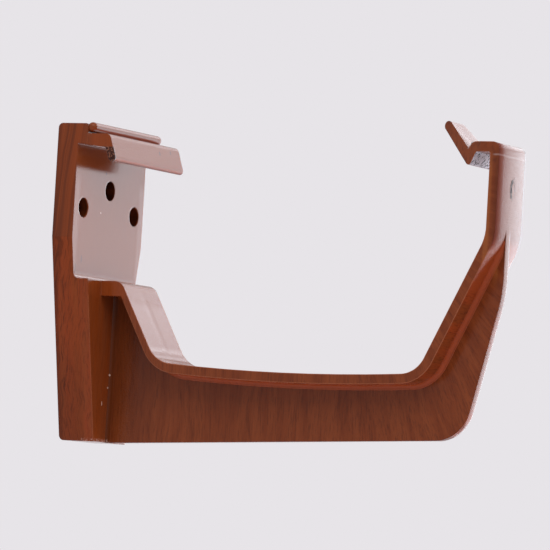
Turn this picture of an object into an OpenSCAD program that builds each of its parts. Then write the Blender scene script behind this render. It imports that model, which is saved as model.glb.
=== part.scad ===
// Fascia bracket for a 114 mm square-line rainwater gutter, one injection moulding.
// Origin: on the wall plane, midway between the two side screws.
// X runs across the width, -Y is the reach away from the wall, +Z is up.
// Side views below are drawn as [reach, height above the foot], so a reach of 10 is Y = -10.
// The finished moulding is lowered by the side screws' height to bring the origin to them.

/* [Fixing plate] */
// full width of the fixing plate, the same from the top down to the taper
plate_w = 38; // [34:0.5:44]
// height of the plate from the foot to the top edge
plate_h = 83; // [81:0.5:88]
// reach of the plate's front face from the wall
plate_reach = 6; // [5:0.1:7]
// height at which the two side edges start to run in
taper_z = 53; // [46:0.5:56]
// width of the block at the foot
foot_w = 17.3; // [15:0.1:20]
// wall thickness of the moulding round the hollow back
wall_t = 2.4; // [2:0.1:3]
// thickness of the two side ribs inside the hollow back
rib_t = 2; // [1.6:0.1:2.4]
// radius on the two back corners, at the top edge and at the foot
back_r = 1.3; // [0.8:0.1:2]

/* [Screw holes] */
// diameter of the three plain screw holes
screw_d = 5.2; // [4:0.1:6]
// distance between the two side screws
screw_pitch = 27.8; // [26:0.1:28.2]
// height of the two side screws above the foot
side_screw_z = 61.2; // [59:0.1:63]
// height of the middle screw above the foot
mid_screw_z = 66.8; // [64:0.1:69]
// outer diameter of the tubes behind the holes
boss_d = 9; // [8:0.1:10]

/* [Block under the ledge] */
// reach of the block's front face from the wall
block_reach = 10.3; // [9:0.1:12]
// height of the ledge, where the plate steps out to the block
ledge_z = 42.4; // [40:0.1:46]
// thickness of the ledge where it leaves the block
ledge_t = 4; // [3:0.1:5]
// hollow radius between the plate and the ledge
ledge_fillet_r = 1.4; // [0.8:0.1:2]

/* [Gutter seat] */
// clear distance between the plate and the front arm, for the gutter
gutter_gap = 114; // [108:0.5:118]
// height of the lowest point of the seat's upper face
seat_z = 20; // [17:0.5:23]
// radius of the seat's slight sag along the reach
seat_sag_r = 520; // [400:10:900]
// reach of the lowest point of the seat
seat_mid = 68; // [60:1:72]
// thickness of the strap under and in front of the gutter
strap_t = 2.5; // [2.2:0.1:3]
// thickness of the strap on the rear slope
slope_t = 1.8; // [1.6:0.1:2.5]
// width of the strap where it leaves the block
strap_w_rear = 18.6; // [17:0.1:20]
// width of the strap at the front arm
strap_w_front = 16.5; // [15:0.1:17.5]
// reach at which the ledge turns down into the rear slope
ledge_reach = 16.1; // [14:0.1:18]
// steepness of the rear slope, in degrees
rear_slope = 61.2; // [56:0.1:66]
// steepness of the front slope, in degrees
front_slope = 64; // [60:0.1:68]
// height at which the front slope turns up into the arm
arm_bend_z = 56.4; // [53:0.1:60]
// rounding of the ledge's front edge
ledge_r = 3.5; // [2.5:0.1:4.5]
// inside radius between the rear slope and the seat
rear_bend_r = 8; // [6:0.5:10]
// inside radius between the seat and the front slope
front_bend_r = 7.5; // [6:0.5:10]
// inside radius between the front slope and the arm
arm_bend_r = 12; // [8:0.5:16]

/* [Web] */
// thickness of the middle web
web_t = 2.6; // [2.2:0.1:3.2]
// rise of the web's lower edge from the block to the front, in degrees
web_rise = 2.64; // [1.5:0.1:4]
// reach of the web's lower front corner before rounding
web_toe_reach = 113.3; // [110:0.1:116]
// radius of the lower front corner
web_toe_r = 10; // [8:0.5:12]
// height at which the web's front edge leaves the vertical
web_knee_z = 42.4; // [40:0.1:46]
// radius of that long bend
web_knee_r = 40; // [30:1:50]
// hollow radius between the web and the block
web_fillet_r = 1.2; // [0.8:0.1:1.5]

/* [Rear clip] */
// reach of the cap over the plate
cap_reach = 8.75; // [8:0.05:9.5]
// radius of the bead along the cap's front edge
bead_r = 1.3; // [1:0.05:1.5]
// distance of the bead's centre line in front of the cap
bead_out = 0.75; // [0.4:0.05:1]
// distance of the bead's centre line below the plate's top
bead_drop = 0.9; // [0.6:0.05:1.2]
// distance of each rounded bead end from the plate's side
bead_inset = 0.1; // [0:0.05:2]
// radius of the cap's top front edge
cap_edge_r = 0.6; // [0.2:0.1:1]
// distance of the clip's flat top below the plate's top edge
flange_drop = 2.65; // [2:0.05:3]
// thickness of the flange at the plate
flange_t = 2.65; // [2.4:0.05:3.2]
// slope of the flange's underside, in degrees
flange_fall = 6.7; // [4:0.1:9]
// reach of the flange's front edge before rounding
flange_reach = 15.45; // [15:0.05:17]
// rounding of the flange's front edge
flange_r = 1.6; // [1:0.1:2]
// lean of the lip away from the vertical, in degrees
lip_lean = 17.7; // [12:0.1:22]
// thickness of the lip
lip_t = 2; // [1.7:0.1:2.4]
// distance from the clip's flat top down to the lip's lower end
lip_h = 7.2; // [6:0.1:8]
// hollow radius between the flange and the lip
lip_fillet_r = 0.8; // [0.4:0.1:1.2]

/* [Front clip] */
// height of the arched top of the arm above the foot
arch_z = 80.8; // [79:0.1:84]
// thickness of the arched top and of its leg
arch_t = 2.6; // [2.2:0.1:2.8]
// rounding of the arm's top front edge
arch_r = 2; // [1.5:0.1:2.4]
// hollow radius between the arm's inner face and the arched top
arch_fillet_r = 0.6; // [0.3:0.1:1]
// clear width of the pocket inside the arch, at its top
pocket_w = 4.2; // [4.1:0.1:4.6]
// steepness of the leg that comes down from the arch, in degrees
leg_slope = 60.6; // [55:0.1:65]
// distance from the arched top down to the hook's lower tip
hook_drop = 5.9; // [5.5:0.1:6.4]
// radius of the hook's lower tip
hook_r = 0.95; // [0.8:0.05:1.1]
// length of the snap tongue between the centres of its ends
tongue_len = 11.9; // [10:0.1:13]
// steepness of the snap tongue, in degrees
tongue_slope = 48.4; // [45:0.1:54]
// half the thickness of the snap tongue at its tip
tongue_r = 1.25; // [1.1:0.05:1.4]
// half the thickness of the snap tongue at its root
root_r = 1.42; // [1.3:0.02:1.5]
// distance along the tongue from the hook's tip to the tongue's thickest point
root_up = 2.1; // [1.6:0.1:3]
// width of the snap tongue at its tip
tongue_w = 6.4; // [5:0.1:9]
// distance behind the arm's inner face at which the clip starts to narrow
narrow_from = 2.8; // [1:0.1:4]
// radius that trims the tongue's tip corner on the +X side
tongue_corner_r = 2.2; // [1.4:0.1:2.6]
// radius of the arm's top corner on the +X side, seen from the front
arm_corner_r = 2.5; // [1:0.1:2.6]

/* [Hidden] */
// every solid of the part
// the node drawn when one is asked for
// smoothness of round parts
$fn = 96;
// smoothness of the very long sag arc
sag_fn = 1440;
// small overlap that joins neighbouring pieces
lap = 0.4;
// a length that reaches past the whole bracket
far = 200;
// extra radius that makes every arc cross its neighbours instead of only touching them
cross = 0.01;

// reach of the arm's inner and outer face
arm_in = plate_reach + gutter_gap;
arm_out = arm_in + strap_t;
// underside of the ledge
ledge_under = ledge_z - ledge_t;
// sideways step of a wall of thickness t along the tapered sides
function side_step(t) = t * norm([(plate_w - foot_w) / 2, taper_z]) / taper_z;

// directions down the rear slope and up the front slope, and their normals into the gutter
rear_down = [cos(rear_slope), -sin(rear_slope)];
rear_n = [sin(rear_slope), cos(rear_slope)];
front_up = [cos(front_slope), sin(front_slope)];
front_n = [-sin(front_slope), cos(front_slope)];
// centre of the seat's sag arc
sag_c = [seat_mid, seat_z + seat_sag_r];

function unit(v) = v / norm(v);
// where the ray from p along unit direction u leaves the circle round c
function ray_circle(p, u, c, r) =
    p + u * (sqrt(pow((p - c) * u, 2) - (p - c) * (p - c) + r * r) - (p - c) * u);

// the strap's faces: side 0 is the inner one, side 1 the outer one, 0.5 lies between
function rear_pt(side) = [ledge_reach, ledge_z] - rear_n * slope_t * side;
function front_pt(side) = [arm_in, arm_bend_z] - front_n * strap_t * side;
function sag_r(side) = seat_sag_r + strap_t * side;
function rear_r(side) = rear_bend_r + strap_t * side;
function front_r(side) = front_bend_r + strap_t * side;
function arm_r(side) = arm_bend_r + strap_t * side;
// centres of the three bends
function rear_c(side) = ray_circle(
    rear_pt(side) + rear_n * rear_r(side), rear_down, sag_c, sag_r(side) - rear_r(side));
function front_c(side) = ray_circle(
    front_pt(side) + front_n * front_r(side), -front_up, sag_c, sag_r(side) - front_r(side));
function arm_c(side) =
    let (x = arm_in - arm_bend_r, p = front_pt(side))
    [x, p[1] + (arm_r(side) + (x - p[0]) * sin(front_slope)) / cos(front_slope)];
// points where straight and round stretches meet, from the rear slope to the arm
function rear_a(side) = rear_c(side) - rear_n * rear_r(side);
function rear_b(side) = sag_c + unit(rear_c(side) - sag_c) * sag_r(side);
function front_b(side) = sag_c + unit(front_c(side) - sag_c) * sag_r(side);
function front_a(side) = front_c(side) - front_n * front_r(side);
function arm_a(side) = arm_c(side) - front_n * arm_r(side);
function arm_b(side) = arm_c(side) + [arm_r(side), 0];

// up the leg, and out of its face towards the wall
leg_up = [cos(leg_slope), sin(leg_slope)];
leg_out = [-sin(leg_slope), cos(leg_slope)];
// up the tongue, and out of its upper face
tongue_up = [-cos(tongue_slope), sin(tongue_slope)];
tongue_out = [sin(tongue_slope), cos(tongue_slope)];
// corner between arch and leg, on the pocket side
leg_top = [arm_in - pocket_w, arch_z - arch_t];
// centre of the hook's lower tip, whose edge lies on the leg's pocket side
hook_z = arch_z - hook_drop + hook_r;
hook = leg_top + leg_out * hook_r + leg_up * (hook_z - leg_top[1] - leg_out[1] * hook_r) / leg_up[1];
// centres of the tongue's root and tip
root = hook + tongue_out * (root_r - hook_r) + tongue_up * root_up;
tongue_tip = hook + tongue_out * (root_r - hook_r) + tongue_up * tongue_len;

// centre of the arc of radius r that touches both arms of the corner a, c, b
function corner_c(a, c, b, r) =
    let (u = unit(a - c), v = unit(b - c))
    c + unit(u + v) * r / sin(acos(u * v) / 2);

// the sliver between a sharp corner and its arc, to cut away or to fill in
module corner(a, c, b, r) {
    m = corner_c(a, c, b, r);
    u = unit(a - c);
    v = unit(b - c);
    difference() {
        polygon([c, c + u * ((m - c) * u), m, c + v * ((m - c) * v)]);
        translate(m)
            circle(r + cross);
    }
}

// a bar from p to q with a round end of its own radius at each
module link(p, rp, q, rq) {
    u = unit(q - p);
    s = (rp - rq) / norm(q - p);
    k = sqrt(1 - s * s);
    n1 = u * s + [-u[1], u[0]] * k;
    n2 = u * s - [-u[1], u[0]] * k;
    polygon([p + n1 * rp, q + n1 * rq, q + n2 * rq, p + n2 * rp]);
    translate(p)
        circle(rp + cross);
    translate(q)
        circle(rq + cross);
}

// turns a solid drawn as [reach, height, across] to its place
module stand() {
    rotate([90, 0, -90])
        children();
}

// stands a side view up as a slab of width w, with its middle on X = 0
module slab(w) {
    stand()
        translate([0, 0, -w / 2])
            linear_extrude(w)
                children();
}

// pushes a front view out from the wall, between two reaches
module push_out(from, to) {
    translate([0, -from, 0])
        rotate([90, 0, 0])
            linear_extrude(to - from)
                children();
}

// ---- side views ----

// the gutter's space above one face of the strap, open at the top
module trough(side) {
    // a little further up the rear slope's line, past the ledge's rounded edge
    left = rear_pt(side) - rear_down * ledge_r * 2;
    polygon([
        [left[0], far], left, rear_a(side), rear_b(side), front_b(side),
        front_a(side), arm_a(side), arm_b(side), [arm_b(side)[0], far]
    ]);
    translate(rear_c(side))
        circle(rear_r(side) + cross);
    translate(front_c(side))
        circle(front_r(side) + cross);
    translate(arm_c(side))
        circle(arm_r(side) + cross);
    intersection() {
        translate(sag_c)
            circle(sag_r(side), $fn = sag_fn);
        translate([rear_b(side)[0], seat_z - strap_t * 2])
            square([front_b(side)[0] - rear_b(side)[0], strap_t * 2 + rear_b(side)[1] - seat_z + lap]);
    }
}

// ledge, rear slope, seat, front slope and arm
module strap_profile() {
    edge = [ledge_reach, ledge_z];
    difference() {
        union() {
            intersection() {
                difference() {
                    trough(1);
                    trough(0);
                }
                union() {
                    square([seat_mid, ledge_z]);
                    translate([seat_mid - lap, 0])
                        square([far, arch_z - arch_t]);
                }
            }
            difference() {
                translate([block_reach - wall_t / 2, ledge_under])
                    square([ledge_reach, ledge_t]);
                trough(0);
            }
        }
        corner([0, ledge_z], edge, edge + rear_down, ledge_r);
    }
}

// the web's outer edge, from the block round the toe and up to the arm
module web_outline() {
    foot = [block_reach, 0];
    toe = [web_toe_reach, (web_toe_reach - block_reach) * tan(web_rise)];
    knee = [arm_out, web_knee_z];
    top = arm_b(1);
    difference() {
        polygon([[0, 0], foot, toe, knee, top, [0, top[1]]]);
        corner(foot, toe, knee, web_toe_r);
        corner(toe, knee, top, web_knee_r);
    }
}

// the web as far as the middle of the strap
module web_profile() {
    back = block_reach - wall_t / 2;
    difference() {
        intersection() {
            web_outline();
            union() {
                translate([back, 0])
                    square([seat_mid - back, ledge_under + lap]);
                translate([seat_mid - lap, 0])
                    square([far, far]);
            }
        }
        trough(0.5);
    }
}

// plate and block, without the clip
module body_profile() {
    edge = [plate_reach, ledge_z];
    difference() {
        union() {
            square([plate_reach, plate_h]);
            square([block_reach, ledge_z]);
            corner([plate_reach, plate_h], edge, [block_reach, ledge_z], ledge_fillet_r);
        }
        corner([0, 0], [0, plate_h], [plate_reach, plate_h], back_r);
        corner([0, plate_h], [0, 0], [block_reach, 0], back_r);
    }
}

// cap, flange and lip of the rear clip
module rear_clip_profile() {
    top = plate_h - flange_drop;
    edge = [flange_reach, top];
    // directions down the lip and out of its front face
    down = [sin(lip_lean), -cos(lip_lean)];
    out = [cos(lip_lean), sin(lip_lean)];
    // centre of the lip's rounded lower end, and where its centre line starts
    start = edge - out * lip_t / 2;
    tip = start + down * (start[1] - top + lip_h - lip_t / 2) / cos(lip_lean);
    // underside of the flange, from the plate to the lip's inner face
    under = [plate_reach, top - flange_t];
    fall = [cos(flange_fall), -sin(flange_fall)];
    inner = edge - out * lip_t;
    run = ((inner - under) * out) / (fall * out);
    inside = under + fall * run;
    difference() {
        union() {
            translate([plate_reach - wall_t, top - lap])
                square([cap_reach - plate_reach + wall_t, flange_drop + lap]);
            polygon([
                [plate_reach - wall_t, top], edge, edge + down * flange_t,
                inside + down * lap, inside, under, [plate_reach - wall_t, under[1]]
            ]);
            link(start + down * lip_t / 2, lip_t / 2, tip, lip_t / 2);
            corner(under, inside, tip - out * lip_t / 2, lip_fillet_r);
        }
        corner([0, top], edge, edge + down, flange_r);
        corner([0, plate_h], [cap_reach, plate_h], [cap_reach, top], cap_edge_r);
    }
}

// arched top of the arm, leg, hook and snap tongue
module front_clip_profile() {
    under = arch_z - arch_t;
    outside = leg_top + leg_out * arch_t + leg_up * (arch_t - leg_out[1] * arch_t) / leg_up[1];
    difference() {
        union() {
            polygon([
                outside, [arm_out, arch_z], [arm_out, under - lap], [arm_in, under - lap],
                [arm_in, under], leg_top, hook - leg_out * hook_r, hook, root
            ]);
            corner([arm_in, under], leg_top, hook - leg_out * hook_r, hook_r);
            corner([arm_in, 0], [arm_in, under], leg_top, arch_fillet_r);
            link(hook, hook_r, root, root_r);
            link(root, root_r, tongue_tip, tongue_r);
        }
        corner([arm_in, arch_z], outside, outside - leg_up, arch_t);
        corner([arm_in, arch_z], [arm_out, arch_z], [arm_out, 0], arch_r);
    }
}

// ---- front views ----

// outline of plate and block, set in by t all round
module front_outline(t) {
    w = plate_w / 2 - t;
    f = foot_w / 2 - side_step(t);
    k = (plate_w - foot_w) / 2 / taper_z;
    z = (w - f) / k;
    polygon([
        [-f - k * t, t], [f + k * t, t], [w, z],
        [w, plate_h - t], [-w, plate_h - t], [-w, z]
    ]);
}

// the three screw positions
module at_screws() {
    translate([0, mid_screw_z])
        children();
    for (side = [-1, 1])
        translate([side * screw_pitch / 2, side_screw_z])
            children();
}

// what is hollow behind the plate: all but the ribs and the screw tubes
module hollow_view() {
    difference() {
        front_outline(wall_t);
        translate([-web_t / 2, 0])
            square([web_t, plate_h]);
        for (side = [-1, 1])
            translate([side * (strap_w_rear - rib_t) / 2 - rib_t / 2, 0])
                square([rib_t, plate_h]);
        at_screws()
            circle(d = boss_d);
    }
}

// ---- solids ----

// plate and block with their hollow back
module body() {
    difference() {
        intersection() {
            slab(plate_w)
                body_profile();
            push_out(-lap, block_reach + lap)
                front_outline(0);
        }
        push_out(-lap, plate_reach - wall_t)
            hollow_view();
        push_out(-lap, block_reach - wall_t)
            intersection() {
                hollow_view();
                translate([-plate_w / 2, 0])
                    square([plate_w, ledge_z - wall_t]);
            }
    }
}

// rear clip over the whole width, with the bead that ends short of it
module rear_clip() {
    bead_end = plate_w / 2 - bead_inset - bead_r;
    bead_y = -cap_reach - bead_out;
    bead_z = plate_h - bead_drop;
    slab(plate_w)
        rear_clip_profile();
    translate([-bead_end, bead_y, bead_z])
        rotate([0, 90, 0])
            cylinder(r = bead_r, h = bead_end * 2);
    for (side = [-1, 1])
        translate([side * bead_end, bead_y, bead_z])
            sphere(bead_r);
}

// half the strap's width at a reach, narrowing evenly to the front
function half_w(reach) =
    (strap_w_rear + (strap_w_front - strap_w_rear) * (reach - block_reach) / (arm_out - block_reach)) / 2;

// strap seen from above
module strap_plan() {
    polygon([
        [half_w(0), 0], [half_w(far), -far], [-half_w(far), -far], [-half_w(0), 0]
    ]);
}

// what lies beside the front clip as it narrows to the tongue's tip, seen from above
module clip_trim() {
    wide = [half_w(arm_in - narrow_from), narrow_from - arm_in];
    tip = [tongue_w / 2, tongue_r + lap - tongue_tip[0]];
    run = unit(wide - tip);
    out = wide + run * wall_t;
    difference() {
        translate([-plate_w / 2, wide[1] + run[1]])
            square([plate_w, tip[1] - wide[1] - run[1] + lap]);
        difference() {
            polygon([out, tip, [-tip[0], tip[1]], [-out[0], out[1]]]);
            corner(out, tip, [-tip[0], tip[1]], tongue_corner_r);
        }
    }
}

// hollow corners between the block's front face and both faces of the web
module block_joints() {
    w = web_t / 2;
    r = web_fillet_r;
    for (side = [-1, 1])
        linear_extrude(ledge_under + lap)
            translate([0, -block_reach])
                scale([side, 1])
                    difference() {
                        translate([w - lap, -r])
                            square([r + lap, r + lap]);
                        translate([w + r, -r])
                            circle(r + cross);
                    }
}

// strap with its front clip
module strap() {
    side_x = half_w(plate_reach);
    difference() {
        intersection() {
            slab(plate_w)
                union() {
                    strap_profile();
                    front_clip_profile();
                }
            translate([0, 0, -lap])
                linear_extrude(far)
                    strap_plan();
        }
        translate([0, 0, arch_z - hook_drop - lap])
            linear_extrude(far)
                clip_trim();
        push_out(arm_in - pocket_w * 2, arm_out + lap)
            corner([0, arch_z], [side_x, arch_z], [side_x, 0], arm_corner_r);
    }
}

// the whole moulding
module bracket() {
    color([0.42, 0.2, 0.13])
        translate([0, 0, -side_screw_z])
            difference() {
                union() {
                    body();
                    rear_clip();
                    strap();
                    slab(web_t)
                        web_profile();
                    block_joints();
                }
                push_out(-lap, plate_reach + lap)
                    at_screws()
                        circle(d = screw_d);
            }
}

bracket();
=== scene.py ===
"""The look of the gutter bracket: one moulding in brown, wood-streaked PVC."""

import math

import bmesh
import bpy
from mathutils import Matrix, Vector


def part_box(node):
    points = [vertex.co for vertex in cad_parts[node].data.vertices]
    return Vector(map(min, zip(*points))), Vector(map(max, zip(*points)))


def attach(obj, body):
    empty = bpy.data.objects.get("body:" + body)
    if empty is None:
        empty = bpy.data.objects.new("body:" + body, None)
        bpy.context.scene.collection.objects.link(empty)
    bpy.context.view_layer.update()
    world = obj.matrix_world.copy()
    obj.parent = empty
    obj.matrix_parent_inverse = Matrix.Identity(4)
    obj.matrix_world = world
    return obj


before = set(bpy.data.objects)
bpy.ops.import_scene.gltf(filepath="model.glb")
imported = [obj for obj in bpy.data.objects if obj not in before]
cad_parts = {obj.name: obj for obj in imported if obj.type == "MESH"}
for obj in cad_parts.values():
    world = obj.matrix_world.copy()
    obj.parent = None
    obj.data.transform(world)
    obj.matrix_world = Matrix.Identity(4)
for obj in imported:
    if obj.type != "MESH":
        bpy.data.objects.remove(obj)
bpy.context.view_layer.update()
MM = 0.001
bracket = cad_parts["bracket"]
low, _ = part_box("bracket")
FOOT = low[2]


def rgb(r, g, b):
    """A colour written as the eye sees it, 0 to 255, as the shader takes it."""
    def lin(c):
        c /= 255.0
        return c / 12.92 if c <= 0.04045 else ((c + 0.055) / 1.055) ** 2.4
    return (lin(r), lin(g), lin(b), 1.0)


# ---- sizes, places and colours ----

# Places on the bracket are in mm: X across, D the reach off the wall, H the height above the
# foot. A pair is where a mask starts and where it is full, or the two ends of a band.
WEB_HALF = 1.3
FILLET_R = 1.2
FILLET_FROM = 16.0              # the strap's fillets start past the block's corner
FILLET_THIN = 0.12              # radius at their thin end
FILLET_GAP = 0.2                # how far short of the arm's outer face they end
FILLET_SUNK = 0.15              # how far they reach into the web and the strap
EDGE_R = 0.4                    # radius of the rounded edges
RIDGE = 0.05                    # height of the skin's ridges

# faces and edges
WALL_D = (8.5, 6.5)             # sides of the plate
WALL_BACK_D, WALL_FRONT_D = (1.6, 0.4), (1.5, 7.0)
WALL_LOW_H, WALL_HIGH_H, BANDS_H = (32.0, 8.0), (35.0, 75.0), (26.0, 44.0)
PLATE_D, PLATE_LINES_D = (6.6, 6.3), (16.0, 15.0)
LEDGE_TOP_H = (42.5, 43.0)
LEDGE_SIDE_D, LEDGE_SIDE_H = (10.0, 17.5), (37.5, 38.5)
BLOCK_D, BLOCK_H = (15.0, 13.0), (43.0, 41.5)
BLOCK_EDGE_D, BLOCK_EDGE_H = (5.0, 10.8), (38.5, 37.5)
CORNER_D, CORNER_X = (16.0, 14.0), (3.0, 2.7)
WEB_X, WEB_SHADE_D = (1.9, 1.3), (32.0, 11.0)
WEB_SHADE_LOW_H, WEB_SHADE_HIGH_H = (-12.0, 14.0), (40.0, 30.0)
RIM_X, RIM_REAR_D, RIM_REAR_H, RIM_FRONT_D = (6.5, 7.0), (16.5, 18.0), (60.0, 56.0), (40.0, 42.0)
ARM_D, ARM_OUT_D, ARM_H = (120.5, 121.5), (120.6, 121.4), (52.0, 56.0)
ARM_DARK_D, ARM_DARK_H = (120.9, 122.3), (50.0, 78.0)
ARM_PALE_D, ARM_PALE_H = (119.4, 120.8), (46.0, 77.0)
ARM_NEAR_X, ARM_EDGE_X = (2.0, -7.0), (6.8, 8.0)

# the arm's crown and that of the web's rim: how far a face tilts, to a mm off its middle
CROWN_D, CROWN_MID, CROWN = (100.0, 112.0), 1.0, 0.014
ARM_TURN_X, ARM_TURN = 4.5, 0.065
WEB_RIM_X, WEB_RIM_D, WEB_RIM_H, WEB_CROWN = (1.5, 1.4), (70.0, 130.0), (60.0, 56.0), 0.05

# flow lines
FAN_D, FAN_H = 80.0, 78.0       # point round which the lines fan out at the front bend
FAN_DROP = 4.0                  # least drop below that point, so that the fan never folds over
FAN_SPREAD = 74.0               # mm of pattern to a radian of the fan
FAN_BLEND_D = (70.0, 90.0)
LEAN_D, LEAN_H, LEAN = (12.0, 9.0), 16.0, 0.10
SWAY = 2.5
LONG_D = (8.0, 12.0)
ACROSS_D = (112.0, 120.0)       # the arm's face, where ridges across it show most

# wear and marks, and the places of painted shade, highlights and sheen
SCREW_HOLES, HOLE_R, HOLE_D = ((0.0, 66.8), (-13.9, 61.2), (13.9, 61.2)), (2.85, 2.65), (5.9, 5.5)
BREAK_X, BREAK_D, BREAK_H = (-18.2, -18.7), (13.4, 18.0), (72.2, 76.9)
GLINT_X, GLINT_D, GLINT_H = (-9.0, -15.0), (10.3, 13.5), (74.0, 75.5)
HOOK_D, HOOK_H = (112.0, 119.2), (73.0, 78.4)
BORDER_X, BORDER_W, BORDER_LOW_H, BORDER_TOP_H = 18.2, (-1.0, 1.9), (44.6, 43.4), (71.0, 67.0)
FOOT_GLINT_D, FOOT_GLINT_H = (6.5, 11.0), (1.1, 0.5)
LINE_H = (77.3, 77.7)           # the pale line across the top of the arm
LIP_D = (13.5, 19.0)
BEAD_D, BEAD_H = (6.0, 12.9), (79.5, 80.5)
FRONT_D = (10.8, 10.5)          # the plate's and the block's front
MOTTLE_D = (13.0, 19.0)
SINK_X, SINK_D, SINK_H = (2.3, 0.0), (16.5, 28.0), (24.0, 41.0)

# small marks on front faces: x, h, half width, half height
SCAR = (1.3, 69.3, 1.5, 2.6)
SCAR_CORE = (1.65, 69.1, 0.95, 2.15)
LIP_MARKS = ((7.4, 77.7, 0.35, 0.6), (13.8, 78.5, 0.3, 0.5))
BEAD_NICK = (3.7, 81.0, 0.8, 0.3)
PLATE_DENTS = ((-13.3, 47.6, 0.35, 1.1), (-16.4, 44.9, 0.35, 1.5), (-2.5, 71.2, 0.35, 0.4))
FRONT_CHIPS = ((-2.1, 17.9, 0.30, 0.30), (-2.6, 14.5, 0.34, 0.26),
               (-5.3, 10.2, 0.24, 0.6), (-4.4, 60.6, 0.28, 0.24))

# which way a face looks: how far its normal leans to a side, down, up or forwards
SIDEWAYS, NOT_SIDEWAYS, SLANTING = (0.45, 0.75), (0.5, 0.3), (0.06, 0.96)
DOWN, STRAIGHT_DOWN, UP, STEEP = (-0.05, -0.35), (-0.5, -0.8), (0.2, 0.4), (0.2, 0.3)
FORWARDS, STRAIGHT_FORWARDS = (-0.3, -0.6), (-0.55, -0.85)

# the plastic, and its colours of painted light, shade and highlights
MID, LIGHT, DARK = rgb(114, 52, 24), rgb(130, 64, 32), rgb(80, 35, 18)
SHADE, HOLLOW_SHADE = rgb(78, 34, 12), rgb(88, 36, 6)
WARM, ORANGE, AMBER = rgb(164, 70, 34), rgb(138, 62, 22), rgb(150, 84, 42)
EDGE_HIGHLIGHT, RUSSET_SHADE = rgb(206, 128, 92), rgb(118, 40, 20)
# wear and marks, and colours of painted shade, highlights and sheen
HOLE_SHADE, SPECK, SCAR_DARK = rgb(30, 10, 5), rgb(60, 28, 22), rgb(20, 8, 7)
BREAK_DARK, BREAK_PALE, GLINT_PALE = rgb(50, 20, 13), rgb(150, 98, 76), rgb(250, 236, 230)
RUBBED, SCRATCH, BORDER_SHEEN = rgb(236, 232, 240), rgb(24, 16, 18), rgb(220, 196, 190)
FOOT_GLINT, LINE_PALE, LIP_MARK = rgb(206, 160, 144), rgb(226, 208, 204), rgb(60, 32, 26)
NICK_DARK, DENT, CHIP = rgb(50, 26, 22), rgb(70, 40, 34), rgb(214, 176, 156)
PALE_GROUND = rgb(231, 228, 232)

ROUGH, SPECULAR, IOR, BUMP = 0.05, 0.15, 1.53, 0.35

# each panel one metre off: its left and right edge in degrees to the right of straight ahead,
# its lower and upper edge in degrees above level, and its radiance
PANELS = (("panel_foot", 49.0, 98.0, -25.0, -13.0, 3.2), ("panel_low", 49.0, 98.0, -13.0, 12.0, 4.5),
          ("panel_mid", 49.0, 84.0, 12.0, 24.0, 2.6), ("panel_high", 49.0, 84.0, 24.0, 34.0, 4.3),
          ("panel_side", 84.0, 104.0, 12.0, 40.0, 1.8))
PANEL_COLOUR = (0.93, 1.0, 1.08)
AIM_D, AIM_H = 60.0, 40.0       # the point that the lamps face
# the fill lamp: its place off that point and its size in metres, and its watts
FILL_OFF, FILL_SIZE, FILL_POWER = (-0.7, -0.35, 0.9), (0.9, 0.9), 8.0
AIR_COLOUR, AIR_LIGHT = (0.98, 0.95, 1.0, 1.0), 0.55
FLOOR_HALF, FLOOR_DROP = 6.0, 0.45      # half its width and how far it lies below the foot, in metres
# the camera: about level with the foot, off to the bracket's left, far away; in metres
CAMERA_PLACE = Vector((-1.15787, -0.64983, FOOT - 0.03201))
CAMERA_RIGHT, CAMERA_UP = Vector((0.45208, -0.89004, 0.05878)), Vector((-0.07988, 0.02524, 0.99648))
LENS, SENSOR = 327.27, 36.0     # in mm


# ---- camera ----

def make_camera():
    """The camera that took the photo."""
    back = CAMERA_RIGHT.cross(CAMERA_UP).normalized()
    right = CAMERA_UP.cross(back).normalized()
    data = bpy.data.cameras.new("camera")
    data.sensor_width = SENSOR
    data.lens = LENS
    data.clip_start = 0.05
    data.clip_end = 20.0
    cam = bpy.data.objects.new("camera", data)
    bpy.context.scene.collection.objects.link(cam)
    m = Matrix((right, CAMERA_UP, back)).transposed().to_4x4()
    m.translation = CAMERA_PLACE
    cam.matrix_world = m
    bpy.context.scene.camera = cam


# ---- node helpers ----

class Value:
    """A number in a node tree; arithmetic on it adds the nodes that work it out."""

    def __init__(self, nodes, socket):
        self.nodes, self.socket = nodes, socket

    def __add__(self, other):
        return self.nodes.math("ADD", self, other)

    def __sub__(self, other):
        return self.nodes.math("SUBTRACT", self, other)

    def __rsub__(self, other):
        return self.nodes.math("SUBTRACT", other, self)

    def __mul__(self, other):
        return self.nodes.math("MULTIPLY", self, other)

    def __truediv__(self, other):
        return self.nodes.math("DIVIDE", self, other)

    def __abs__(self):
        return self.nodes.math("ABSOLUTE", self)

    __radd__, __rmul__ = __add__, __mul__


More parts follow.
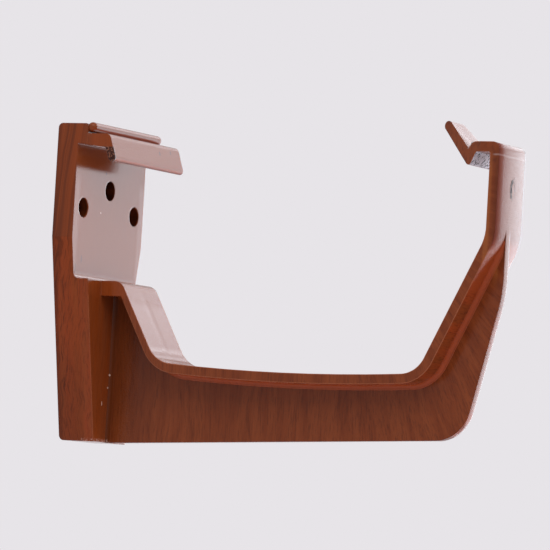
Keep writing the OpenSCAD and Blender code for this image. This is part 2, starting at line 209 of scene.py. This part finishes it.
class Nodes:
    """A node tree, emptied, with short ways to fill it."""

    def __init__(self, tree):
        self.tree = tree
        self.tree.nodes.clear()

    def add(self, kind, **props):
        n = self.tree.nodes.new(kind)
        for k, v in props.items():
            setattr(n, k, v)
        return n

    def put(self, socket, value):
        if isinstance(value, Value):
            value = value.socket
        if isinstance(value, bpy.types.NodeSocket):
            self.tree.links.new(value, socket)
        elif value is not None:
            socket.default_value = value

    def math(self, op, a, b=None, clamp=False):
        n = self.add("ShaderNodeMath", operation=op, use_clamp=clamp)
        self.put(n.inputs[0], a)
        self.put(n.inputs[1], b)
        return Value(self, n.outputs[0])

    def largest(self, *values):
        top = values[0]
        for v in values[1:]:
            top = self.math("MAXIMUM", top, v)
        return top

    def ramp(self, value, a, b):
        """0 at a, 1 at b and past it, with soft ends."""
        n = self.add("ShaderNodeMapRange", clamp=True, interpolation_type="SMOOTHSTEP")
        self.put(n.inputs["Value"], value)
        n.inputs["From Min"].default_value = a
        n.inputs["From Max"].default_value = b
        return Value(self, n.outputs["Result"])

    def within(self, v, a, b, soft):
        """1 from a to b, with ends that fade over soft either way."""
        return self.ramp(v, a - soft, a + soft) * self.ramp(v, b + soft, b - soft)

    def mix(self, f, a, b):
        """From colour a to colour b."""
        n = self.add("ShaderNodeMix", data_type="RGBA")
        self.put(n.inputs["Factor"], f)
        self.put(n.inputs[6], a)
        self.put(n.inputs[7], b)
        return n.outputs[2]

    def choose(self, f, a, b):
        """From number a to number b."""
        n = self.add("ShaderNodeMix", data_type="FLOAT")
        self.put(n.inputs[0], f)
        self.put(n.inputs[2], a)
        self.put(n.inputs[3], b)
        return Value(self, n.outputs[0])

    def xyz(self, x, y, z):
        n = self.add("ShaderNodeCombineXYZ")
        for s, v in zip(n.inputs, (x, y, z)):
            self.put(s, v)
        return n.outputs[0]

    def split(self, v):
        n = self.add("ShaderNodeSeparateXYZ")
        self.put(n.inputs[0], v)
        return [Value(self, s) for s in n.outputs]

    def vector(self, op, a, b=None):
        n = self.add("ShaderNodeVectorMath", operation=op)
        self.put(n.inputs[0], a)
        self.put(n.inputs[1], b)
        return n

    def noise(self, vec, scale, detail, rough, distort=0.0):
        n = self.add("ShaderNodeTexNoise")
        self.put(n.inputs["Vector"], vec)
        n.inputs["Scale"].default_value = scale
        n.inputs["Detail"].default_value = detail
        n.inputs["Roughness"].default_value = rough
        n.inputs["Distortion"].default_value = distort
        return Value(self, n.outputs["Fac"])


class Surface(Nodes):
    """A material's nodes, which know where a point lies on the bracket and which way it faces."""

    def __init__(self, tree):
        super().__init__(tree)
        tex = self.add("ShaderNodeTexCoord")
        ox, oy, oz = self.split(tex.outputs["Object"])
        self.nx, self.ny, self.nz = self.split(tex.outputs["Normal"])
        self.x = ox * (1 / MM)
        self.d = oy * (-1 / MM)
        self.h = (oz - FOOT) * (1 / MM)
        self.wide = abs(self.x)
        self.place = self.xyz(self.x, self.d, self.h)
        self.side = self.ramp(abs(self.nx), *SIDEWAYS)
        self.front = self.ramp(self.ny, *STRAIGHT_FORWARDS)
        self.forwards = self.ramp(self.ny, *FORWARDS)
        self.below = self.ramp(self.nz, *DOWN)

    def spot(self, place, ragged=0.35):
        """1 inside an uneven oval on a front face, 0 outside it."""
        x, h, half_w, half_h = place
        a = (self.x - x) / half_w
        b = (self.h - h) / half_h
        wobble = (self.noise(self.place, 1.6, 2.0, 0.6) - 0.5) * (ragged * 2)
        return self.ramp(self.math("SQRT", a * a + b * b) + wobble, 1.1, 0.85)

    def spots(self, places, ragged=0.35):
        return self.largest(*[self.spot(p, ragged) for p in places])


# ---- material ----

def find_places(n):
    """Masks of places, and the skin's pits and grain, for more than one part of the material."""
    n.wall = n.side * n.ramp(n.d, *WALL_D)
    # the arm's outer face above its bend
    n.outer = n.ramp(n.d, *ARM_OUT_D) * n.ramp(n.h, *ARM_H)
    # the arm's near side, painted redder as shade and made duller
    n.arm_near = n.outer * n.ramp(n.x, *ARM_NEAR_X) * n.forwards
    # fillets on both sides of the web
    n.hollow = n.within(abs(n.nx), *SLANTING, 0.04) * n.ramp(n.wide, *CORNER_X)
    # the part of them in the block's corner, which is painted in shade
    n.corner = n.hollow * n.ramp(n.d, *CORNER_D)
    # the lip's broken near end
    n.broken = n.ramp(n.x, *BREAK_X) * n.within(n.d, *BREAK_D, 0.25) * n.within(n.h, *BREAK_H, 0.3)
    # a painted highlight: a pale sliver under the flange's near end
    under = n.ramp(n.nz, *STRAIGHT_DOWN) * n.within(n.d, *GLINT_D, 0.3)
    n.torn = under * n.ramp(n.x, *GLINT_X) * n.ramp(n.h, *GLINT_H)
    # the hook's pocket side
    hook = n.within(n.d, *HOOK_D, 0.4) * n.within(n.h, *HOOK_H, 0.4) * n.ramp(n.ny, -0.2, -0.4)
    n.hook = hook * n.ramp(abs(n.nx), *NOT_SIDEWAYS)
    # the gate's scar is a ragged ring on the arm
    n.arm = n.ramp(n.d, *ARM_D)
    n.scar = n.arm * n.math("SUBTRACT", n.spot(SCAR, 0.9), n.spot(SCAR_CORE, 1.3), clamp=True)
    n.pits = n.noise(n.place, 2.4, 3.0, 0.7)
    n.grain = n.noise(n.place, 4.5, 2.0, 0.5)


def add_flow_lines(n):
    """The fine and broad streaks that the plastic's flow left in every face."""
    # on the side faces they stand upright near the wall and fan out round the front bend
    past = n.d - FAN_D
    fan = n.math("ARCTAN2", past, n.largest(FAN_H - n.h, FAN_DROP))
    bend = n.ramp(n.d, *FAN_BLEND_D)
    u = n.choose(bend, past, fan * FAN_SPREAD)
    # they lean over a little up the plate's sides
    u = u - n.ramp(n.d, *LEAN_D) * n.largest(n.h - LEAN_H, 0.0) * LEAN
    u = u + n.noise(n.xyz(u * 0.10, n.h * 0.05, n.x), 1.0, 2.0, 0.5) * SWAY
    # and are longest on the plate's sides, shortest round the bend
    along = n.ramp(n.d, *LONG_D) * 0.058 + bend * 0.06 + 0.012
    n.flow = n.xyz(u, n.h * along, n.x * 0.4)
    # on the plate's front they stay upright; under the strap and up the arm they run across
    upright = n.xyz(n.x, n.h * 0.07, n.d * 0.4)
    across = n.xyz(n.x * 0.12, n.d, n.h)
    plate = n.ramp(n.d, *PLATE_LINES_D)

    def lines(scale, detail, rough):
        face = n.choose(plate, n.noise(across, scale, detail, rough, 0.35),
                        n.noise(upright, scale, detail, rough, 0.25))
        return n.choose(n.side, face, n.noise(n.flow, scale, detail, rough, 0.25))

    n.fine = lines(3.0, 4.0, 0.66)
    n.broad = lines(0.32, 3.0, 0.55)


def plastic_colour(n):
    """The streaked plastic, lighter or deeper from face to face as painted light and shade."""
    # the streaks hardly show on the faces that catch the light
    lit_upper = n.largest(n.ramp(n.nz, *UP), n.front * n.ramp(n.h, *LEDGE_TOP_H))
    show = 1.0 - lit_upper * 0.85
    # warmer where the pale ground lights the underside and inner corners
    warm = n.front * n.ramp(n.h, *BLOCK_H) * n.ramp(n.d, *BLOCK_D)
    tone = n.mix(n.below * 0.85, MID, WARM)
    tone = n.mix(warm * 0.8, tone, ORANGE)
    # painted light: faces turned up, and the front above the ledge, lighter
    tone = n.mix(lit_upper * 0.9 * (1.0 - n.below), tone, LIGHT)
    base = n.mix(n.ramp(n.broad, 0.36, 0.64) * show * 0.8, tone, LIGHT)
    deep = n.wall * 0.30 + 0.62 - warm * 0.30
    base = n.mix(n.ramp(n.fine, 0.46, 0.70) * deep * show, base, DARK)
    return n.mix(n.ramp(n.fine, 0.45, 0.28) * show * 0.35, base, LIGHT)


def colour_sides(n, base):
    """The side faces: plate, arm, ledge, and the web in the block's shade."""
    d, h, side, wall = n.d, n.h, n.side, n.wall
    # the plate's: more orange up and forwards, darker at the wall and the foot, with broad bands
    base = n.mix(wall * n.ramp(h, *WALL_HIGH_H) * 0.35, base, ORANGE)
    base = n.mix(wall * n.ramp(d, *WALL_FRONT_D) * 0.35, base, ORANGE)
    base = n.mix(side * n.ramp(d, *WALL_BACK_D) * 0.5, base, DARK)
    base = n.mix(wall * n.ramp(h, *WALL_LOW_H) * 0.3, base, DARK)
    bands = n.ramp(n.noise(n.flow, 0.9, 3.0, 0.6, 0.25), 0.46, 0.64)
    base = n.mix(bands * wall * n.ramp(h, *BANDS_H) * 0.55, base, DARK)
    # the arm's: darker along its outer face, lighter along its inner one
    outside = side * n.ramp(d, *ARM_DARK_D) * n.within(h, *ARM_DARK_H, 3.0)
    base = n.mix(outside * 0.5, base, DARK)
    inside = side * n.within(d, *ARM_PALE_D, 0.4) * n.within(h, *ARM_PALE_H, 3.0)
    base = n.mix(inside * 0.6, base, AMBER)
    ledge = side * n.within(d, *LEDGE_SIDE_D, 0.8) * n.ramp(h, *LEDGE_SIDE_H)
    base = n.mix(ledge * 0.6, base, ORANGE)
    web = side * n.ramp(n.wide, *WEB_X)
    shade = n.ramp(d, *WEB_SHADE_D) * n.ramp(h, *WEB_SHADE_LOW_H) * n.ramp(h, *WEB_SHADE_HIGH_H)
    return n.mix(web * shade * 0.5, base, SHADE)


def colour_edges(n, base):
    """Painted highlights on the rounded edges, painted shade in the hollows beside the web and inside
    the holes, painted ground light in the strap's fillets, and the arm's near side painted redder as
    shade.
    """
    d, h = n.d, n.h
    flat = n.add("ShaderNodeNewGeometry").outputs["Normal"]
    turned = n.ramp(n.vector("DOT_PRODUCT", n.rounded, flat).outputs["Value"], 0.995, 0.90)
    strap = n.largest(n.ramp(d, *RIM_REAR_D) * n.ramp(h, *RIM_REAR_H), n.ramp(d, *RIM_FRONT_D))
    block = n.within(d, *BLOCK_EDGE_D, 0.2) * n.ramp(h, *BLOCK_EDGE_H) * 0.4
    rim = n.largest(n.ramp(n.wide, *RIM_X) * strap, block)
    # painted highlight along the strap's and the block's rounded edges
    base = n.mix(rim * turned * (0.6 - n.outer * 0.6), base, EDGE_HIGHLIGHT)
    base = n.mix(n.outer * n.ramp(n.wide, *ARM_EDGE_X) * n.forwards * 0.7, base, DARK)
    # painted shade in the hollow corner beside the block
    base = n.mix(n.corner * 0.85, base, HOLLOW_SHADE)
    # painted ground light: the strap's fillets warmer, as the pale ground lights them
    base = n.mix(n.hollow * n.ramp(d, *reversed(CORNER_D)) * 0.7, base, WARM)
    # painted shade inside each screw hole, just past its wall
    for hole_x, hole_h in SCREW_HOLES:
        a, b = n.x - hole_x, h - hole_h
        hole = n.ramp(n.math("SQRT", a * a + b * b), *HOLE_R) * n.ramp(d, *HOLE_D)
        base = n.mix(hole * 0.7, base, HOLE_SHADE)
    # painted shade: the arm's near side redder
    return n.mix(n.arm_near * 0.55, base, RUSSET_SHADE)


def colour_wear(n, base):
    """Damage and rubbing at the clips, a painted highlight under the flange's near end, a painted sheen
    round the plate's border and painted highlights along the foot.
    """
    d, h = n.d, n.h
    # a few dark specks caught in the skin
    base = n.mix(n.ramp(n.noise(n.place, 3.4, 1.0, 0.5), 0.77, 0.80) * 0.6, base, SPECK)
    base = n.mix(n.broken, base, BREAK_DARK)
    base = n.mix(n.broken * n.ramp(n.pits, 0.52, 0.58), base, BREAK_PALE)
    # painted highlight: the pale sliver under the flange's near end
    base = n.mix(n.torn, base, GLINT_PALE)
    # the hook's pocket side, whitened and scratched by the gutter's edge
    rub = n.noise(n.xyz(n.x * 0.8, d - n.x * 0.35, h * 0.5), 1.6, 3.0, 0.7)
    base = n.mix(n.hook * 0.95, base, RUBBED)
    base = n.mix(n.hook * n.ramp(rub, 0.55, 0.58), base, SCRATCH)
    # painted sheen: a lighter border round the plate's front
    sheen_border = n.largest(n.within(BORDER_X - n.wide, *BORDER_W, 1.0), n.ramp(h, *BORDER_LOW_H))
    sheen_border = sheen_border * n.ramp(d, *PLATE_D) * n.front * n.ramp(h, *BORDER_TOP_H)
    base = n.mix(sheen_border * 0.12, base, BORDER_SHEEN)
    # painted highlight: pale patches along the foot, broken up by pits
    chips = n.ramp(h, *FOOT_GLINT_H) * n.ramp(n.pits, 0.50, 0.58) * n.within(d, *FOOT_GLINT_D, 0.4)
    return n.mix(chips * 0.5, base, FOOT_GLINT)


def colour_marks(n, base):
    """Moulding marks and small nicks on the front faces."""
    d, h = n.d, n.h
    base = n.mix(n.scar, base, SCAR_DARK)
    base = n.mix(n.arm * n.within(h, *LINE_H, 0.15) * 0.2, base, LINE_PALE)
    lip = n.within(d, *LIP_D, 0.5) * n.forwards
    base = n.mix(lip * n.spots(LIP_MARKS) * 0.75, base, LIP_MARK)
    bead = n.within(d, *BEAD_D, 0.5) * n.ramp(h, *BEAD_H)
    base = n.mix(bead * n.spot(BEAD_NICK) * 0.8, base, NICK_DARK)
    plate = n.ramp(d, *PLATE_D) * n.ramp(n.ny, -0.6, -0.8)
    base = n.mix(plate * n.spots(PLATE_DENTS) * 0.5, base, DENT)
    chips = n.spots(FRONT_CHIPS, 0.1) * n.ramp(d, *FRONT_D) * n.front
    return n.mix(chips * 0.8, base, CHIP)


def roughness(n):
    """A satin skin, duller on the arm's near side, where it is broken or scratched, and under the
    flange's painted highlight.
    """
    dull = n.largest(n.broken, n.scar, n.hook, n.torn)
    return n.fine * 0.05 + ROUGH + n.grain * 0.04 + dull * 0.45 + n.arm_near * 0.22


def bent_normal(n):
    """Rounded edges, and the slight crown of the arm's front and of the web's rim."""
    tilt = n.ramp(n.d, *CROWN_D) * n.ramp(n.ny, -0.3, -0.5) * (n.x - CROWN_MID) * CROWN
    # the arm's near edge rounds away
    tilt = tilt - n.outer * n.largest(n.x * -1.0 - ARM_TURN_X, 0.0) * ARM_TURN
    rim = n.ramp(n.wide, *WEB_RIM_X) * n.within(n.d, *WEB_RIM_D, 5.0) * n.ramp(n.h, *WEB_RIM_H)
    tilt = tilt + rim * n.x * WEB_CROWN
    # the corner beside the block shades as the web does
    tilt = tilt + n.corner * n.math("SIGN", n.nx) * 3.0
    bent = n.vector("ADD", n.rounded, n.xyz(tilt, 0.0, 0.0)).outputs[0]
    return n.vector("NORMALIZE", bent).outputs[0]


def relief(n):
    """The skin's ridges and grain, its mottling on the lip, the rough scars and a sink mark."""
    mottle = n.noise(n.place, 2.2, 2.0, 0.6) * n.within(n.d, *MOTTLE_D, 0.5)
    height = n.fine + n.grain * 0.5 + mottle * 4.0
    height = height + n.fine * n.ramp(n.d, *ACROSS_D) * 3.0
    height = height + n.largest(n.broken, n.scar) * n.pits * 6.0
    # the sink mark runs down the middle of the rear slope, over the web
    sink = n.ramp(n.wide, *SINK_X) * n.within(n.h, *SINK_H, 1.5) * n.within(n.d, *SINK_D, 1.0)
    height = height - sink * n.ramp(n.nz, *STEEP) * 3.0
    bump = n.add("ShaderNodeBump")
    bump.inputs["Strength"].default_value = BUMP
    bump.inputs["Distance"].default_value = RIDGE * MM
    n.put(bump.inputs["Height"], height)
    n.put(bump.inputs["Normal"], bent_normal(n))
    return bump.outputs[0]


def streaked_pvc():
    """Brown PVC with darker flow lines, a satin skin and the marks of moulding and use."""
    mat = bpy.data.materials.new("streaked_pvc")
    mat.use_nodes = True
    n = Surface(mat.node_tree)
    out = n.add("ShaderNodeOutputMaterial")
    bsdf = n.add("ShaderNodeBsdfPrincipled")
    n.put(out.inputs["Surface"], bsdf.outputs[0])

    edges = n.add("ShaderNodeBevel", samples=6)
    edges.inputs["Radius"].default_value = EDGE_R * MM
    n.rounded = edges.outputs[0]
    find_places(n)
    add_flow_lines(n)

    base = plastic_colour(n)
    for layer in (colour_sides, colour_edges, colour_wear, colour_marks):
        base = layer(n, base)
    n.put(bsdf.inputs["Base Color"], base)
    n.put(bsdf.inputs["Roughness"], roughness(n))
    n.put(bsdf.inputs["Normal"], relief(n))
    bsdf.inputs["IOR"].default_value = IOR
    bsdf.inputs["Specular IOR Level"].default_value = SPECULAR
    return mat


# ---- the moulding ----

def strap_line():
    """The line where the web's -X face meets the strap's underside, from the wall to the front:
    each point, with the way out of the strap there."""
    bm = bmesh.new()
    bm.from_mesh(bracket.data)
    bmesh.ops.remove_doubles(bm, verts=bm.verts, dist=0.002 * MM)
    bm.verts.index_update()
    bm.verts.ensure_lookup_table()
    steps, outs = {}, {}
    for edge in bm.edges:
        a, b = edge.verts
        if len(edge.link_faces) != 2 or max(abs(v.co.x + WEB_HALF * MM) for v in (a, b)) > 0.01 * MM:
            continue
        web = [f for f in edge.link_faces if abs(f.normal.x) > 0.9]
        strap = [f for f in edge.link_faces if abs(f.normal.x) < 0.1]
        if len(web) != 1 or len(strap) != 1:
            continue
        out, mid = strap[0].normal, (a.co + b.co) / 2
        if (web[0].calc_center_median() - mid).dot(out) <= 0 or -mid.y < FILLET_FROM * MM:
            continue
        for v, w in ((a, b), (b, a)):
            steps.setdefault(v.index, []).append(w.index)
            outs[v.index] = outs.get(v.index, Vector()) + out * (a.co - b.co).length
    ends = [k for k, v in steps.items() if len(v) == 1]
    k = min(ends, key=lambda i: -bm.verts[i].co.y)
    line, seen = [], set()
    while k is not None:
        seen.add(k)
        line.append((bm.verts[k].co.copy(), outs[k].normalized()))
        k = next((w for w in steps[k] if w not in seen), None)
    bm.free()
    return line


def fillet_ring(p, out, across, r, steps=8):
    """The fillet's outline in a corner at p, between the directions out and across."""
    sunk = FILLET_SUNK * MM
    ring = [p - across * sunk - out * sunk, p - across * sunk + out * r]
    for i in range(steps + 1):
        t = math.radians(90 * i / steps)
        ring.append(p + out * r * (1 - math.sin(t)) + across * r * (1 - math.cos(t)))
    return ring + [p + across * r - out * sunk]


def strap_fillet(name, sign, mat):
    """The hollow fillet between one face of the web and the strap's underside."""
    across = Vector((sign, 0, 0))
    rings = []
    for p, out in strap_line():
        # the fillet thins out as the line comes up to the arm's outer face, and stops short of it
        left = p.y - low[1]
        if left < FILLET_GAP * MM:
            continue
        r = FILLET_R * MM
        if -out.y > 0.3:
            r = max(min(r, 0.7 * left / -out.y), FILLET_THIN * MM)
        rings.append(fillet_ring(Vector((sign * WEB_HALF * MM, p.y, p.z)), out, across, r))
    count = len(rings[0])
    last = count * len(rings) - 1
    faces = [tuple(range(count)), tuple(range(last, last - count, -1))]
    for i in range(len(rings) - 1):
        for j in range(count):
            a, b = i * count + j, i * count + (j + 1) % count
            faces.append((a, b, b + count, a + count))
    mesh = bpy.data.meshes.new(name)
    mesh.from_pydata([v for ring in rings for v in ring], [], faces)
    bm = bmesh.new()
    bm.from_mesh(mesh)
    bmesh.ops.recalc_face_normals(bm, faces=bm.faces)
    for f in bm.faces:
        f.smooth = len(f.verts) == 4
    bm.to_mesh(mesh)
    bm.free()
    piece = bpy.data.objects.new(name, mesh)
    bpy.context.scene.collection.objects.link(piece)
    mesh.materials.append(mat)
    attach(piece, "root")


# ---- stage and light ----

def area(name, place, aim, size, power, colour=(1, 1, 1)):
    """A flat lamp at place, facing aim."""
    data = bpy.data.lights.new(name, "AREA")
    data.shape = "RECTANGLE"
    data.size, data.size_y = size
    data.energy = power
    data.color = colour
    o = bpy.data.objects.new(name, data)
    bpy.context.scene.collection.objects.link(o)
    o.location = place
    o.rotation_mode = "QUATERNION"
    o.rotation_quaternion = (place - aim).to_track_quat("Z", "Y")


def make_floor():
    """A pale ground, well below the bracket."""
    mesh = bpy.data.meshes.new("floor")
    half, z = FLOOR_HALF, FOOT - FLOOR_DROP
    mesh.from_pydata([(-half, -half, z), (half, -half, z), (half, half, z), (-half, half, z)],
                     [], [(0, 1, 2, 3)])
    floor = bpy.data.objects.new("floor", mesh)
    bpy.context.scene.collection.objects.link(floor)
    mat = bpy.data.materials.new("floor")
    mat.use_nodes = True
    b = mat.node_tree.nodes["Principled BSDF"]
    b.inputs["Base Color"].default_value = PALE_GROUND
    b.inputs["Roughness"].default_value = 0.8
    mesh.materials.append(mat)


def make_world():
    """Even light from all round, and a plain pale background behind the object."""
    world = bpy.data.worlds.new("world")
    bpy.context.scene.world = world
    world.use_nodes = True
    n = Nodes(world.node_tree)
    out = n.add("ShaderNodeOutputWorld")
    seen = n.add("ShaderNodeBackground")
    seen.inputs["Color"].default_value = PALE_GROUND
    lit = n.add("ShaderNodeBackground")
    lit.inputs["Color"].default_value = AIR_COLOUR
    lit.inputs["Strength"].default_value = AIR_LIGHT
    path = n.add("ShaderNodeLightPath")
    mix = n.add("ShaderNodeMixShader")
    n.put(mix.inputs[0], n.largest(path.outputs["Is Camera Ray"], path.outputs["Is Glossy Ray"],
                                   path.outputs["Is Transmission Ray"]))
    n.put(mix.inputs[1], lit.outputs[0])
    n.put(mix.inputs[2], seen.outputs[0])
    n.put(out.inputs["Surface"], mix.outputs[0])


def make_lights():
    """Soft panels side by side and one over the other off to the right, and a fill from the left."""
    aim = Vector((0.0, -AIM_D * MM, FOOT + AIM_H * MM))
    for name, left, right, foot, head, radiance in PANELS:
        turn, lift = math.radians((left + right) / 2), math.radians((foot + head) / 2)
        wide = 2 * math.tan(math.radians((right - left) / 2))
        tall = 2 * math.tan(math.radians((head - foot) / 2))
        way = Vector((math.sin(turn) * math.cos(lift), -math.cos(turn) * math.cos(lift), math.sin(lift)))
        area(name, aim + way, aim, (wide, tall), radiance * math.pi * wide * tall, PANEL_COLOUR)
    area("fill", aim + Vector(FILL_OFF), aim, FILL_SIZE, FILL_POWER)


make_camera()
pvc = streaked_pvc()
for slot in bracket.material_slots:
    slot.material = pvc
strap_fillet("strap_fillet_near", -1, pvc)
strap_fillet("strap_fillet_far", 1, pvc)
make_floor()
make_world()
make_lights()

bpy.context.scene.view_settings.view_transform = "Standard"
